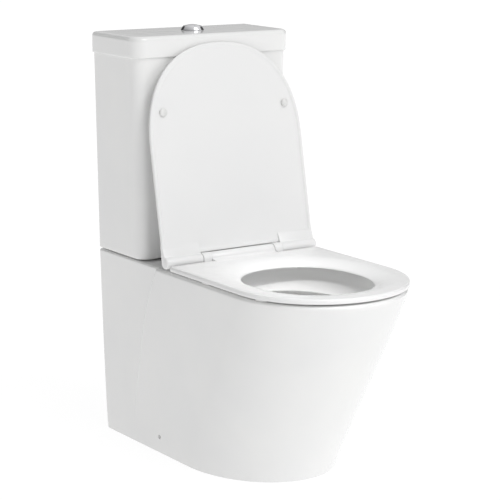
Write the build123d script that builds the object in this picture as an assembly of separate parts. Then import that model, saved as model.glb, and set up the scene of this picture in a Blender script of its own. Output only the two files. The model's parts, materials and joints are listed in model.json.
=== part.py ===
"""Close coupled toilet: a fully skirted pan, a cistern with its two valves, a seat and its cover.

Millimetres. The origin is on the floor at the middle of the toilet's box. +Z is up, -Y is the
front of the bowl, and +Y is the wall that the toilet stands against. The cover is open.
"""
from build123d import *
import math
import os

# ---- Overall places -------------------------------------------------------------------------
WALL_Y = 345.0
FRONT_Y = -345.0
RIM_Z = 394.0
EPS = 1.0

# ---- Pan ------------------------------------------------------------------------------------
PAN_BASE_HALF = 158.0
PAN_TOP_HALF = 176.0
NOSE_PROUD = 4.5
PAN_WALL = 11.0
DECK_THICK = 14.0
DECK_UNDER = RIM_Z - DECK_THICK
NOSE_POWER = 2.03
NOSE_PROFILE = [(0.0, -161.0), (50.0, -181.0), (190.0, -249.0), (300.0, -306.0), (387.0, -344.5)]
NOSE_STRAIGHT_BASE = 35.0
NOSE_STRAIGHT_TOP = -170.0
CREASE = [(100.0, 420.0), (127.0, 382.0), (170.0, 290.0), (205.0, 160.0), (226.0, 80.0), (240.0, -20.0)]
RIM_ROUND = RIM_Z - NOSE_PROFILE[-1][0]
SIDE_HOLE = (135.0, 35.0)
SIDE_HOLE_R = 5.0

BOWL_WALL = 12.0
# height, half width, half depth, centre y
BOWL_UPPER = [
    (RIM_Z + EPS, 135.0, 165.0, -130.0),
    (370.0, 133.0, 162.0, -130.0),
    (358.0, 127.0, 154.0, -129.0),
    (350.0, 112.0, 136.0, -126.0),
    (346.0, 105.0, 128.0, -125.0),
]
BOWL_LOWER = [
    (343.0, 122.0, 148.0, -128.0),
    (332.0, 120.0, 145.0, -127.0),
    (318.0, 107.0, 129.0, -122.0),
    (300.0, 95.0, 115.0, -117.0),
    (280.0, 87.0, 105.0, -112.0),
    (230.0, 75.0, 90.0, -102.0),
    (180.0, 63.0, 74.0, -93.0),
    (130.0, 46.0, 54.0, -84.0),
    (106.0, 26.0, 32.0, -80.0),
]
TRAP_ROUTE = [(-85.0, 132.0), (5.0, 104.0), (62.0, 222.0), (118.0, 222.0), (150.0, 180.0), (215.0, 180.0)]
TRAP_BEND = 42.0
TRAP_BORE_R = 28.0
TRAP_WALL = 10.0
OUTLET_Z = 180.0
OUTLET_R = 51.0
OUTLET_BORE_R = 43.0
OUTLET_START_Y = 196.0
OUTLET_END_Y = 250.0
TRAPWAY_HALF = 60.0
TRAPWAY_START_Y = 20.0
TRAPWAY_Z = (40.0, 280.0)
DUCT_HALF = 29.0
DUCT_Z = (296.0, 330.0)
DUCT_WALL = 9.0
INLET_R = 31.0
INLET_WALL = 13.0
RECESS_R = 46.6
RECESS_FLOOR = 382.0
CUTOUT_X = (95.0, 150.0)
CUTOUT_Y = (230.0, 296.0)

# ---- Cistern --------------------------------------------------------------------------------
CISTERN_Y = 180.0
CISTERN_FLOOR = 397.0
CISTERN_TOP = 812.4
CISTERN_BASE_HALF = 177.0
CISTERN_TOP_HALF = 188.0
CISTERN_WALL = 12.0
CISTERN_BACK_WALL = 10.0
CISTERN_THICK_FLOOR = 14.0
CISTERN_FRONT_R = 25.0
CISTERN_BACK_R = 6.0
CISTERN_BACK_TRIM = 1.0
CISTERN_INSIDE = CISTERN_FLOOR + CISTERN_THICK_FLOOR

LID_HALF = 192.0
LID_Y = 176.0
LID_Z = (813.0, 849.0)
LID_PLATE = 12.0
LID_WALL = 12.0
LID_ROUND = 9.0
LID_FRONT_R = 28.0
LID_RIB_GAP = 4.0
LID_RIB_WALL = 6.0
LID_RIB_DROP = 7.0

# ---- Flush buttons --------------------------------------------------------------------------
VALVE_Y = 261.0
LID_HOLE_R = 20.0
SLEEVE_R = 19.0
SLEEVE_BORE_R = 15.2
SLEEVE_END = 818.0
SLEEVE_PLATE = 2.5
BEZEL_R = 24.0
BEZEL_TOP_R = 16.4
BEZEL_TOP = 858.4
BUTTON_R = 14.9
BUTTON_UNDER = 848.0
BUTTON_EDGE = 858.0
BUTTON_TOP = 861.0
BUTTON_SPLIT = -2.5
BUTTON_GAP = 0.8
HALF_ROD_X = -9.0
FULL_ROD_X = 6.0
ROD_R = 3.0
ROD_GUIDE_R = 3.08
ROD_END = 702.6
SPRING_R = 4.6
SPRING_WIRE_R = 0.5
SPRING_TURNS = 5
LOCK_NUT_R = 27.0
LOCK_NUT_THICK = 7.5

# ---- Flush valve ----------------------------------------------------------------------------
TAIL_R = 29.0
TAIL_BORE_R = 24.0
TAIL_END = 368.0
WASHER_THICK = 3.0
FLANGE_R = 42.0
FLANGE_THICK = 5.0
FLANGE_UNDER = CISTERN_INSIDE + WASHER_THICK
FLANGE_TOP = FLANGE_UNDER + FLANGE_THICK
SEAT_LAND_R = 27.0
SEAT_LAND_TOP = 424.0
VALVE_NUT_R = 36.0
VALVE_NUT_THICK = 12.0
GASKET_BORE_R = 36.6
GASKET_R = 46.0
SEAL_Z = (424.3, 428.0)
SEAL_R = 31.0
TUBE_R = 15.0
TUBE_BORE_R = 13.0
TUBE_TOP = 640.0
TUBE_DISC_R = 30.0
TUBE_DISC_TOP = 431.0
TOWER_SHELL = 3.0
TOWER_R = 38.0
TOWER_Z = (450.0, 600.0)
NECK_R = 20.0
NECK_TOP = 670.0
HEAD_HALF_X = 22.0
HEAD_Y = (236.0, 293.0)
HEAD_THICK = 6.0
LEVER_PIVOT = (285.0, 698.0)
LEVER_TIP_Y = 252.0
LEVER_THICK = 5.0
LEVER_HALF_Z = 4.0
LEVER_PIN_R = 2.0
LEVER_BORE_R = 2.06
LUG_THICK = 3.0
LUG_OFFSET = 4.5

# ---- Fill valve -----------------------------------------------------------------------------
FILL_X = -120.0
THREAD_R = 10.48
THREAD_TOP = 389.0
FILL_NECK_R = 10.8
FILL_TAIL_END = 352.0
FILL_TAIL_BORE_R = 5.0
FILL_FLANGE_R = 17.0
FILL_FLANGE_THICK = 4.0
FILL_SHANK_R = 11.0
FILL_HEAD_R = 22.0
FILL_HEAD_Z = (690.0, 716.0)
FILL_CAP_R = 23.5
FILL_CAP_TOP = 728.0
FILL_NUT_R = 18.0
FILL_NUT_THICK = 8.0
FLOAT_R = 31.0
FLOAT_BORE_R = 12.0
FLOAT_Z = (560.0, 636.0)
FILL_PIVOT_Z = 703.0
FILL_PIN_R = 2.5
FILL_PIN_BORE_R = 2.55
FILL_LEVER_Y = (232.0, 236.0)
FILL_LEVER_REACH = 38.0
FILL_LEVER_HALF_Z = 4.0
FLOAT_ROD_R = 2.0

# ---- Cistern bolts --------------------------------------------------------------------------
BOLT_X = 78.0
BOLT_R = 4.0
BOLT_HEAD_R = 8.0
BOLT_HEAD_THICK = 5.0
BOLT_END = 352.0
CONE_WASHER_R = 12.0
CONE_WASHER_THICK = 5.0
CISTERN_BOLT_HOLE_R = 5.5
DECK_BOLT_HOLE_R = 6.0
PLATE_WASHER_R = 14.0
PLATE_WASHER_THICK = 3.0
WING_NUT_HUB_R = 8.5
WING_NUT_THICK = 10.0
WING_SPAN = 34.0
WING_THICK = 3.0

# ---- Seat, cover and hinges -----------------------------------------------------------------
AXIS_Y = 80.5
AXIS_Z = 411.0
COVER_OPEN_DEG = 101.5
BARREL_R = 11.5
BLOCK_R = 12.0
BLOCK_X = (78.5, 97.5)
PIN_R = 5.0
PIN_BORE_R = 5.05
PIN_X = (62.0, 114.0)
TONGUE_HALF = 77.8
TAB_START = 98.3

SEAT_HALF = 183.0
SEAT_STRAIGHT_Y = -170.0
SEAT_REAR_Y = 67.0
SEAT_Z = (398.0, 408.0)
SEAT_ROUND = 4.5
SEAT_HOLE_HALF_X = 120.0
SEAT_HOLE_HALF_Y = 133.0
SEAT_HOLE_Y = -143.0
SEAT_HOLE_POWER = 2.2
SEAT_LIP_Z = 393.0
SEAT_LIP_WIDTH = 9.0
SEAT_DISH = [(-EPS, 0.0), (4.0, 0.0), (8.5, 5.0), (12.2, 15.0), (14.2, 28.0), (15.2, 40.0)]

COVER_HALF = 185.0
COVER_STRAIGHT = 230.0
COVER_REACH = 430.0
COVER_POWER = 2.28
COVER_H = (1.0, 9.0)
COVER_SLOT = 12.6
COVER_ROUND = 3.5
COVER_RIM = 7.0
COVER_DISH = 1.4
TEARDROP_REACH = 32.0
TAB_BULGE = 2.4

SEAT_BUMPERS = [(173.0, -50.0, 90.0), (165.0, -219.0, 72.0)]
SEAT_BUMPER_SIZE = (24.0, 9.0)
SEAT_BUMPER_Z = (394.3, 398.0)
COVER_BUMPER_X = 149.0
COVER_BUMPER_REACH = 297.0
COVER_BUMPER_R = 8.5
COVER_BUMPER_UNDER = 408.4

BASE_PLATE_TOP = 397.5
BASE_PLATE_X = (66.0, 98.0)
BASE_PLATE_Y = (61.5, 99.5)
STUD_X = 77.5
STUD_R = 4.0
STUD_HEAD_R = 7.5
STUD_END = 350.0
STUD_HOLE_R = 7.0
BUSH_Z = (381.0, 394.0)


# ---- Helpers --------------------------------------------------------------------------------
def superellipse(half_x, half_y, power, centre_y, start, stop, count):
    """Points of |x/a|^n + |y/b|^n = 1 from one angle to another, in degrees."""
    points = []
    for step in range(count + 1):
        angle = math.radians(start + (stop - start) * step / count)
        x = half_x * math.copysign(abs(math.cos(angle)) ** (2.0 / power), math.cos(angle))
        y = half_y * math.copysign(abs(math.sin(angle)) ** (2.0 / power), math.sin(angle))
        points.append((x, centre_y + y))
    return points


def oval_face(half_x, half_y, power, centre_y, z):
    """A closed oval lying at height z."""
    points = superellipse(half_x, half_y, power, centre_y, 0, 360, 40)
    return Pos(0, 0, z) * make_face(Spline(*points[:-1], periodic=True))


def d_face(half_x, straight_y, front_y, rear_y, power, z):
    """A D lying at height z: straight back and sides, and half a superellipse in front."""
    nose = superellipse(half_x, straight_y - front_y, power, straight_y, 180, 360, 32)
    outline = Spline(*nose, tangents=[(0, -1), (0, 1)])
    outline += Line((half_x, straight_y), (half_x, rear_y))
    outline += Line((half_x, rear_y), (-half_x, rear_y))
    outline += Line((-half_x, rear_y), (-half_x, straight_y))
    return Pos(0, 0, z) * make_face(outline)


def soft_box_face(half_x, front_y, rear_y, front_r, rear_r, z):
    """A rectangle lying at height z, with one radius for its front corners and one for its back."""
    shape = Pos(0, (front_y + rear_y) / 2) * Rectangle(2 * half_x, rear_y - front_y)
    shape = fillet(shape.vertices().sort_by(Axis.Y)[:2], front_r)
    shape = fillet(shape.vertices().sort_by(Axis.Y)[-2:], rear_r)
    return Pos(0, 0, z) * shape


def block(x_range, y_range, z_range):
    """A box between two opposite corners."""
    size = [high - low for low, high in (x_range, y_range, z_range)]
    middle = [(low + high) / 2 for low, high in (x_range, y_range, z_range)]
    return Pos(*middle) * Box(*size)


def disc(x, y, z_low, z_high, radius):
    """An upright cylinder."""
    return Pos(x, y, (z_low + z_high) / 2) * Cylinder(radius, z_high - z_low)


def ring(x, y, z_low, z_high, outer, inner):
    """An upright tube."""
    return disc(x, y, z_low, z_high, outer) - disc(x, y, z_low - EPS, z_high + EPS, inner)


def bar_x(x_low, x_high, y, z, radius):
    """A cylinder along X."""
    return Pos((x_low + x_high) / 2, y, z) * Rot(0, 90, 0) * Cylinder(radius, x_high - x_low)


def bar_y(y_low, y_high, x, z, radius):
    """A cylinder along Y."""
    return Pos(x, (y_low + y_high) / 2, z) * Rot(90, 0, 0) * Cylinder(radius, y_high - y_low)


def prism_x(outline, x_low, x_high):
    """A closed outline of (y, z) points, drawn out along X."""
    face = Plane.YZ * make_face(Polyline(*outline, close=True))
    return Pos(x_low, 0, 0) * extrude(face, x_high - x_low, dir=(1, 0, 0))


def turned(outline, x, y):
    """A closed outline of (radius, z) points, turned about an upright axis."""
    face = Plane.XZ * make_face(Polyline(*outline, close=True))
    return Pos(x, y, 0) * revolve(face, Axis.Z)


def rounded_plate(outline, z_low, z_high, radius):
    """A plate with a rounded top edge. outline(inset, z) gives its face at one level."""
    plate = extrude(outline(0.0, z_low), z_high - radius - z_low)
    edge = []
    for step in range(5):
        angle = math.radians(22.5 * step)
        edge.append(outline(radius * (1.0 - math.cos(angle)), z_high - radius * (1.0 - math.sin(angle))))
    return plate + loft(edge)


def wing_nut(x, y, z_top):
    """A moulded wing nut under a deck, cut by its own bore."""
    hub = disc(x, y, z_top - WING_NUT_THICK, z_top, WING_NUT_HUB_R)
    wings = Pos(x, y, z_top - WING_NUT_THICK / 2 - 2) * Box(WING_SPAN, WING_THICK, WING_NUT_THICK + 4)
    wings = wings & disc(x, y, z_top - 2 * WING_NUT_THICK, z_top - 2, WING_SPAN / 2)
    return hub + wings


def mirrored_pair(make, x):
    """The same piece at +x and at -x, as one group of separate solids."""
    return Compound(children=[make(x), make(-x)])


# ---- Pan ------------------------------------------------------------------------------------
def pan_half_width(z):
    """Half width of the rear box: tapered, and slightly rounded outwards."""
    return PAN_BASE_HALF + (PAN_TOP_HALF - PAN_BASE_HALF) * (max(z, 0.0) / RIM_Z) ** 0.75


def nose_face(height, front_y, inset, rear_y):
    """One level of the front body, drawn in from the skin by inset."""
    share = height / RIM_Z
    half = pan_half_width(height) + NOSE_PROUD * share - inset
    straight_y = NOSE_STRAIGHT_BASE + (NOSE_STRAIGHT_TOP - NOSE_STRAIGHT_BASE) * share
    return d_face(half, straight_y, front_y + inset, rear_y, NOSE_POWER, height)


def pan_skin():
    """The outside of the pan: a rear box, and a raked front body that stands proud of it."""
    nose = loft([nose_face(z, y, 0.0, WALL_Y) for z, y in NOSE_PROFILE])
    brow_z, brow_y = NOSE_PROFILE[-1]
    rim = []
    for step in range(7):
        angle = math.radians(15.0 * step)
        inset = RIM_ROUND * (1.0 - math.cos(angle))
        rim.append(nose_face(brow_z + RIM_ROUND * math.sin(angle), brow_y, inset, WALL_Y))
    nose += loft(rim)
    crease = Polyline((-400.0, 420.0), (-400.0, -20.0), CREASE[-1])
    crease += Spline(*CREASE)
    crease += Line(CREASE[0], (-400.0, 420.0))
    ahead = Pos(-200, 0, 0) * extrude(Plane.YZ * make_face(crease), 400, dir=(1, 0, 0))
    nose = nose & ahead
    levels = [0.0, 130.0, 260.0, RIM_Z]
    rear = loft([soft_box_face(pan_half_width(z), 60.0, WALL_Y, 4.0, 4.0, z) for z in levels])
    return nose + rear


def pan_void():
    """The hollow behind the skin, open below and behind."""
    levels = [(z, y) for z, y in NOSE_PROFILE[:-1]] + [(DECK_UNDER, NOSE_PROFILE[-1][1] + 5.0)]
    upper = loft([nose_face(z, y, PAN_WALL + NOSE_PROUD, WALL_Y + EPS) for z, y in levels])
    foot = Pos(0, 0, -EPS) * nose_face(0.0, NOSE_PROFILE[0][1], PAN_WALL + NOSE_PROUD, WALL_Y + EPS)
    return upper + extrude(foot, EPS, dir=(0, 0, 1))


def oval_stack(sections):
    """A solid through level ovals, each a row of height, half width, half depth and centre y."""
    return loft([Pos(0, y, z) * Ellipse(half_x, half_y) for z, half_x, half_y, y in sections], ruled=True)


def bowl_inside():
    """The bowl: an upper part down to a ledge, and a lower part that is set back under the ledge."""
    ledge_z, half_x, half_y, y = BOWL_UPPER[-1]
    under_z = BOWL_LOWER[0][0]
    neck = extrude(Pos(0, y, under_z - EPS) * Ellipse(half_x, half_y), ledge_z - under_z + 2 * EPS)
    return oval_stack(BOWL_UPPER) + neck + oval_stack(BOWL_LOWER)


def bowl_outside():
    """The back of the bowl's wall, which ends in the deck."""
    top = (DECK_UNDER + 2.0,) + BOWL_UPPER[0][1:]
    sections = [(z - 0.6 * BOWL_WALL, half_x, half_y, y) for z, half_x, half_y, y in BOWL_LOWER]
    return oval_stack([(z, half_x + BOWL_WALL, half_y + BOWL_WALL, y) for z, half_x, half_y, y in [top] + sections])


def trap_tube(radius):
    """The trapway: down under the bowl's back edge, over the weir and out towards the wall."""
    path = Plane.YZ * FilletPolyline(*TRAP_ROUTE, radius=TRAP_BEND)
    start = Plane(origin=path @ 0, z_dir=path % 0)
    return sweep(start * Circle(radius), path=path)


def pan_casting():
    """The whole china pan, with its trapway and its spigot."""
    body = pan_skin() - pan_void()
    body += bowl_outside()
    body += trap_tube(TRAP_BORE_R + TRAP_WALL)
    body += bar_y(OUTLET_START_Y, OUTLET_END_Y, 0, OUTLET_Z, OUTLET_R)
    duct_half = DUCT_HALF + DUCT_WALL
    duct_z = (DUCT_Z[0] - DUCT_WALL, DUCT_Z[1] + DUCT_WALL)
    body += block((-duct_half, duct_half), (0.0, VALVE_Y + INLET_R), duct_z)
    body += disc(0, VALVE_Y, duct_z[0], DECK_UNDER, INLET_R + INLET_WALL)
    body -= bowl_inside()
    body -= trap_tube(TRAP_BORE_R)
    body -= bar_y(OUTLET_START_Y + 8, OUTLET_END_Y + EPS, 0, OUTLET_Z, OUTLET_BORE_R)
    body -= block((-DUCT_HALF, DUCT_HALF), (-60.0, VALVE_Y), DUCT_Z)
    body -= disc(0, VALVE_Y, DUCT_Z[0], RIM_Z + EPS, INLET_R)
    body -= disc(0, VALVE_Y, RECESS_FLOOR, RIM_Z + EPS, RECESS_R)
    for side in (-1, 1):
        cut_x = sorted((side * CUTOUT_X[0], side * CUTOUT_X[1]))
        body -= block(cut_x, CUTOUT_Y, (DECK_UNDER - EPS, RIM_Z + EPS))
        body -= disc(side * BOLT_X, VALVE_Y, DECK_UNDER - EPS, RIM_Z + EPS, DECK_BOLT_HOLE_R)
        body -= disc(side * STUD_X, AXIS_Y, DECK_UNDER - EPS, RIM_Z + EPS, STUD_HOLE_R)
        side_x = sorted((side * (PAN_BASE_HALF - 2 * PAN_WALL), side * (PAN_TOP_HALF + EPS)))
        body -= bar_x(*side_x, *SIDE_HOLE, SIDE_HOLE_R)
    return body


def behind_the_bowl():
    """The space around the trapway and the spigot, which reaches no other part of the pan."""
    return block((-TRAPWAY_HALF, TRAPWAY_HALF), (TRAPWAY_START_Y, OUTLET_END_Y + EPS), TRAPWAY_Z)


# ---- Cistern --------------------------------------------------------------------------------
def cistern_tank():
    ends = (CISTERN_BASE_HALF, CISTERN_FLOOR), (CISTERN_TOP_HALF, CISTERN_TOP)
    outside = loft([
        soft_box_face(half, CISTERN_Y, WALL_Y + CISTERN_BACK_TRIM, CISTERN_FRONT_R, CISTERN_BACK_R, z)
        for half, z in ends
    ])
    inner_r = CISTERN_FRONT_R - CISTERN_WALL
    back = WALL_Y - CISTERN_BACK_WALL
    ends = (CISTERN_BASE_HALF, CISTERN_INSIDE), (CISTERN_TOP_HALF, CISTERN_TOP + EPS)
    inside = loft([
        soft_box_face(half - CISTERN_WALL, CISTERN_Y + CISTERN_WALL, back, inner_r, inner_r, z)
        for half, z in ends
    ])
    behind = WALL_Y + 2 * CISTERN_BACK_TRIM
    outside -= block((-LID_HALF, LID_HALF), (WALL_Y, behind), (CISTERN_FLOOR - EPS, CISTERN_TOP + EPS))
    tank = fillet(outside.faces().sort_by(Axis.Z)[0].edges(), 4.0) - inside
    low = CISTERN_FLOOR - EPS
    high = CISTERN_INSIDE + EPS
    tank -= disc(0, VALVE_Y, low, high, TAIL_R + 0.6)
    tank -= disc(FILL_X, VALVE_Y, low, high, FILL_NECK_R + 0.6)
    for side in (-1, 1):
        tank -= disc(side * BOLT_X, VALVE_Y, low, high, CISTERN_BOLT_HOLE_R)
    return tank


def cistern_lid():
    lid = extrude(soft_box_face(LID_HALF, LID_Y, WALL_Y, LID_FRONT_R, CISTERN_BACK_R, LID_Z[0]),
                  LID_Z[1] - LID_Z[0])
    lid = fillet(lid.faces().sort_by(Axis.Z)[-1].edges(), LID_ROUND)
    inner_r = LID_FRONT_R - LID_WALL
    pocket_z = LID_Z[1] - LID_PLATE
    pocket = soft_box_face(LID_HALF - LID_WALL, LID_Y + LID_WALL, WALL_Y - CISTERN_BACK_WALL,
                           inner_r, inner_r, LID_Z[0] - EPS)
    lid -= extrude(pocket, pocket_z - LID_Z[0] + EPS)
    rib_half = CISTERN_TOP_HALF - CISTERN_WALL - LID_RIB_GAP
    rib_y = (CISTERN_Y + CISTERN_WALL + LID_RIB_GAP, WALL_Y - CISTERN_BACK_WALL - LID_RIB_GAP)
    rib_z = LID_Z[0] - LID_RIB_DROP
    rib = extrude(soft_box_face(rib_half, *rib_y, inner_r, inner_r, rib_z), pocket_z - rib_z)
    hollow = soft_box_face(rib_half - LID_RIB_WALL, rib_y[0] + LID_RIB_WALL, rib_y[1] - LID_RIB_WALL,
                           inner_r - LID_RIB_WALL, inner_r - LID_RIB_WALL, rib_z)
    lid += rib - extrude(hollow, pocket_z - rib_z)
    return lid - disc(0, VALVE_Y, LID_Z[0], LID_Z[1] + EPS, LID_HOLE_R)


# ---- Flush buttons --------------------------------------------------------------------------
def button_bezel():
    """A domed collar on the lid, with a threaded sleeve below it and a plate that guides the rods."""
    bore_floor = SLEEVE_END + SLEEVE_PLATE
    outline = Polyline((BEZEL_TOP_R, BEZEL_TOP), (SLEEVE_BORE_R, BEZEL_TOP), (SLEEVE_BORE_R, bore_floor),
                       (0, bore_floor), (0, SLEEVE_END), (SLEEVE_R, SLEEVE_END), (SLEEVE_R, LID_Z[1]),
                       (BEZEL_R, LID_Z[1]), (BEZEL_R, LID_Z[1] + 1.2))
    outline += ThreePointArc((BEZEL_R, LID_Z[1] + 1.2), (20.6, 855.2), (BEZEL_TOP_R, BEZEL_TOP))
    bezel = Pos(0, VALVE_Y, 0) * revolve(Plane.XZ * make_face(outline), Axis.Z)
    for rod_x in (HALF_ROD_X, FULL_ROD_X):
        bezel -= disc(rod_x, VALVE_Y, SLEEVE_END - EPS, bore_floor + EPS, ROD_GUIDE_R)
    return bezel


def flush_button(x_range):
    """One part of the split button, cut out of a low dome."""
    outline = Polyline((0, BUTTON_TOP), (0, BUTTON_UNDER), (BUTTON_R, BUTTON_UNDER), (BUTTON_R, BUTTON_EDGE))
    outline += ThreePointArc((BUTTON_R, BUTTON_EDGE), (BUTTON_R / 2, BUTTON_TOP - 0.75), (0, BUTTON_TOP))
    dome = Pos(0, VALVE_Y, 0) * revolve(Plane.XZ * make_face(outline), Axis.Z)
    y_range = (VALVE_Y - BUTTON_R, VALVE_Y + BUTTON_R)
    return dome & block(x_range, y_range, (BUTTON_UNDER, BUTTON_TOP))


def push_rod(x):
    return disc(x, VALVE_Y, ROD_END, BUTTON_UNDER, ROD_R)


def button_spring(x):
    low = SLEEVE_END + SLEEVE_PLATE + SPRING_WIRE_R
    high = BUTTON_UNDER - SPRING_WIRE_R
    coil = Pos(x, VALVE_Y, low) * Helix((high - low) / SPRING_TURNS, high - low, SPRING_R)
    start = Plane(origin=coil @ 0, z_dir=coil % 0)
    return sweep(start * Circle(SPRING_WIRE_R), path=coil, is_frenet=True)


def button_lock_nut():
    top = LID_Z[1] - LID_PLATE
    nut = Pos(0, VALVE_Y, top - LOCK_NUT_THICK) * extrude(RegularPolygon(LOCK_NUT_R, 12), LOCK_NUT_THICK)
    return nut - disc(0, VALVE_Y, top - LOCK_NUT_THICK - EPS, top + EPS, SLEEVE_R)


# ---- Flush valve ----------------------------------------------------------------------------
def flush_valve_base():
    outline = [(TAIL_BORE_R, TAIL_END), (TAIL_R, TAIL_END), (TAIL_R, FLANGE_UNDER), (FLANGE_R, FLANGE_UNDER),
               (FLANGE_R, FLANGE_TOP), (SEAT_LAND_R, FLANGE_TOP), (SEAT_LAND_R, SEAT_LAND_TOP),
               (TAIL_BORE_R, SEAT_LAND_TOP)]
    return turned(outline, 0, VALVE_Y)


def flush_valve_tower():
    """A cage over the valve seat, with a neck and a head that carries the levers' lugs."""
    inner = TOWER_R - TOWER_SHELL
    neck_inner = NECK_R - TOWER_SHELL
    outline = [(inner, TOWER_Z[0]), (TOWER_R, TOWER_Z[0]), (TOWER_R, TOWER_Z[1]), (NECK_R, TOWER_Z[1] + 6),
               (NECK_R, NECK_TOP), (neck_inner, NECK_TOP), (neck_inner, TOWER_Z[1] + 3),
               (inner, TOWER_Z[1] - 3)]
    tower = turned(outline, 0, VALVE_Y)
    for turn in range(4):
        post = block((inner - 1, TOWER_R), (-4.0, 4.0), (FLANGE_TOP, TOWER_Z[0] + 2))
        tower += Pos(0, VALVE_Y, 0) * Rot(0, 0, 45 + 90 * turn) * post
    head_top = NECK_TOP + HEAD_THICK
    tower += block((-HEAD_HALF_X, HEAD_HALF_X), HEAD_Y, (NECK_TOP, head_top))
    tower -= disc(0, VALVE_Y, NECK_TOP - EPS, head_top + EPS, neck_inner)
    pivot_y, pivot_z = LEVER_PIVOT
    for rod_x in (HALF_ROD_X, FULL_ROD_X):
        for side in (-1, 1):
            middle = rod_x + side * LUG_OFFSET
            lug_x = (middle - LUG_THICK / 2, middle + LUG_THICK / 2)
            tower += block(lug_x, (pivot_y - 5, pivot_y + 5), (head_top, pivot_z))
            tower += bar_x(*lug_x, pivot_y, pivot_z, 5.0)
    return tower - bar_x(-HEAD_HALF_X, HEAD_HALF_X, pivot_y, pivot_z, LEVER_PIN_R)


def flush_valve_overflow_tube():
    tube = ring(0, VALVE_Y, SEAL_Z[0], TUBE_TOP, TUBE_R, TUBE_BORE_R)
    return tube + ring(0, VALVE_Y, SEAL_Z[1], TUBE_DISC_TOP, TUBE_DISC_R, TUBE_BORE_R)


def flush_valve_seal():
    return ring(0, VALVE_Y, *SEAL_Z, SEAL_R, TUBE_R)


def valve_base_washer():
    return ring(0, VALVE_Y, CISTERN_INSIDE, FLANGE_UNDER, FLANGE_R, TAIL_R)


def flush_valve_nut():
    nut = Pos(0, VALVE_Y, CISTERN_FLOOR - VALVE_NUT_THICK) * extrude(
        RegularPolygon(VALVE_NUT_R, 12), VALVE_NUT_THICK)
    return nut - disc(0, VALVE_Y, RECESS_FLOOR, CISTERN_FLOOR + EPS, TAIL_R)


def close_coupling_gasket():
    return ring(0, VALVE_Y, RECESS_FLOOR, CISTERN_FLOOR, GASKET_R, GASKET_BORE_R)


def flush_lever(x):
    """A lever under one push rod, turning on the pin behind it."""
    pivot_y, pivot_z = LEVER_PIVOT
    x_range = (x - LEVER_THICK / 2, x + LEVER_THICK / 2)
    arm = block(x_range, (LEVER_TIP_Y, pivot_y), (pivot_z - LEVER_HALF_Z, pivot_z + LEVER_HALF_Z))
    arm += bar_x(*x_range, pivot_y, pivot_z, LEVER_HALF_Z)
    return arm - bar_x(*x_range, pivot_y, pivot_z, LEVER_BORE_R)


def flush_lever_pin():
    return bar_x(HALF_ROD_X - LUG_OFFSET - 3, FULL_ROD_X + LUG_OFFSET + 3, *LEVER_PIVOT, LEVER_PIN_R)


# ---- Fill valve -----------------------------------------------------------------------------
def fill_valve_body():
    """A threaded tail below the cistern, a shank that the float slides on, and a valve head."""
    flange_under = CISTERN_INSIDE + WASHER_THICK
    body = disc(FILL_X, VALVE_Y, FILL_TAIL_END, THREAD_TOP, THREAD_R)
    body += disc(FILL_X, VALVE_Y, THREAD_TOP, flange_under, FILL_NECK_R)
    body += disc(FILL_X, VALVE_Y, flange_under, flange_under + FILL_FLANGE_THICK, FILL_FLANGE_R)
    body += disc(FILL_X, VALVE_Y, flange_under, FILL_HEAD_Z[0], FILL_SHANK_R)
    body += disc(FILL_X, VALVE_Y, *FILL_HEAD_Z, FILL_HEAD_R)
    body += bar_y(FILL_LEVER_Y[0] - 1.5, VALVE_Y, FILL_X, FILL_PIVOT_Z, FILL_PIN_R)
    return body - disc(FILL_X, VALVE_Y, FILL_TAIL_END - EPS, FILL_HEAD_Z[0], FILL_TAIL_BORE_R)


def fill_valve_cap():
    cap = disc(FILL_X, VALVE_Y, FILL_HEAD_Z[1], FILL_CAP_TOP, FILL_CAP_R)
    return fillet(cap.faces().sort_by(Axis.Z)[-1].edges(), 3.0)


def fill_valve_float():
    """A cup round the shank, with a bracket and a rod up to the lever."""
    cup = ring(FILL_X, VALVE_Y, *FLOAT_Z, FLOAT_R, FLOAT_BORE_R)
    rod_x = FILL_X + FILL_LEVER_REACH
    rod_y = sum(FILL_LEVER_Y) / 2
    cup += block((FILL_X + 14, rod_x + 3), (rod_y - 3, VALVE_Y - 13), (FLOAT_Z[1] - 5, FLOAT_Z[1]))
    rod_top = FILL_PIVOT_Z - FILL_LEVER_HALF_Z - 2.5
    return cup + disc(rod_x, rod_y, FLOAT_Z[1], rod_top, FLOAT_ROD_R)


def fill_valve_lever():
    z_range = (FILL_PIVOT_Z - FILL_LEVER_HALF_Z, FILL_PIVOT_Z + FILL_LEVER_HALF_Z)
    arm = block((FILL_X, FILL_X + FILL_LEVER_REACH + 4), FILL_LEVER_Y, z_range)
    arm += bar_y(*FILL_LEVER_Y, FILL_X, FILL_PIVOT_Z, 6.0)
    return arm - bar_y(*FILL_LEVER_Y, FILL_X, FILL_PIVOT_Z, FILL_PIN_BORE_R)


def fill_valve_washer():
    return ring(FILL_X, VALVE_Y, CISTERN_INSIDE, CISTERN_INSIDE + WASHER_THICK, FILL_FLANGE_R, FILL_NECK_R)


def fill_valve_lock_nut():
    nut = Pos(FILL_X, VALVE_Y, CISTERN_FLOOR - FILL_NUT_THICK) * extrude(
        RegularPolygon(FILL_NUT_R, 6), FILL_NUT_THICK)
    return nut - disc(FILL_X, VALVE_Y, RIM_Z - 2 * FILL_NUT_THICK, CISTERN_FLOOR + EPS, FILL_NECK_R)


# ---- Cistern bolts --------------------------------------------------------------------------
def tank_bolt(x):
    head_under = CISTERN_INSIDE + CONE_WASHER_THICK
    head = Pos(x, VALVE_Y, head_under) * extrude(RegularPolygon(BOLT_HEAD_R, 6), BOLT_HEAD_THICK)
    return head + disc(x, VALVE_Y, BOLT_END, head_under, BOLT_R)


def tank_cone_washer(x):
    top = CISTERN_INSIDE + CONE_WASHER_THICK
    outline = [(BOLT_R, CISTERN_INSIDE), (CONE_WASHER_R, CISTERN_INSIDE), (CONE_WASHER_R, top), (BOLT_R, top)]
    return turned(outline, x, VALVE_Y)


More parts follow.
